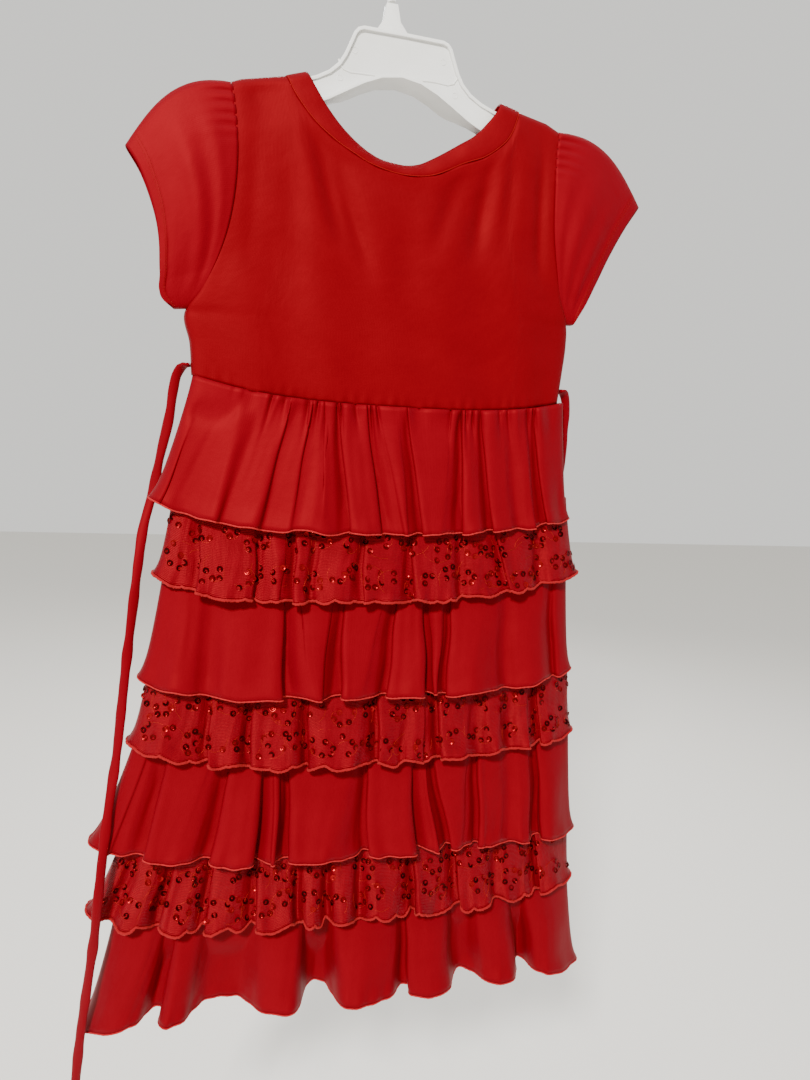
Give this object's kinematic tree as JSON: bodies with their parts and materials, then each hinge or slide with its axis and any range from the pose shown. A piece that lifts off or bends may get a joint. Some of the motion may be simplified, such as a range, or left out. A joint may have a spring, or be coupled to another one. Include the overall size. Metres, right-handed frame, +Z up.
{
  "type": "tiered sequin dress on a hanger",
  "caption": "Child's red jersey dress with short gathered sleeves, plain and sequinned ruffle tiers and two waist ties, hanging flat on a moulded white plastic hanger.",
  "frame": {"origin": "the inside of the crown of the hanger's hook, where a rod carries it", "axes": "+Z up along the dress, -Y towards the side that is shown, +X to that side's viewer's right"},
  "size_m": [0.4746, 0.0973, 0.9731],
  "materials": {
    "red_jersey": "fine smooth knit with a soft sheen",
    "red_sequin_mesh": "fine knit mesh sewn with small ring sequins",
    "white_plastic": "moulded, satin"
  },
  "bodies": {
    "root": {"hook": "white_plastic", "hanger": "white_plastic", "bodice_front": "red_jersey", "neckband_front": "red_jersey", "foundation_front": "red_jersey", "tier_1_front": "red_jersey", "tier_2_front": "red_sequin_mesh", "tier_3_front": "red_jersey", "tier_4_front": "red_sequin_mesh", "tier_5_front": "red_jersey", "tier_6_front": "red_sequin_mesh", "tier_7_front": "red_jersey", "bodice_back": "red_jersey", "neckband_back": "red_jersey", "foundation_back": "red_jersey", "tier_1_back": "red_jersey", "tier_2_back": "red_sequin_mesh", "tier_3_back": "red_jersey", "tier_4_back": "red_sequin_mesh", "tier_5_back": "red_jersey", "tier_6_back": "red_sequin_mesh", "tier_7_back": "red_jersey", "sleeve_left": "red_jersey", "sleeve_right": "red_jersey", "tie_left": "red_jersey", "tie_right": "red_jersey"}
  },
  "joints": []
}
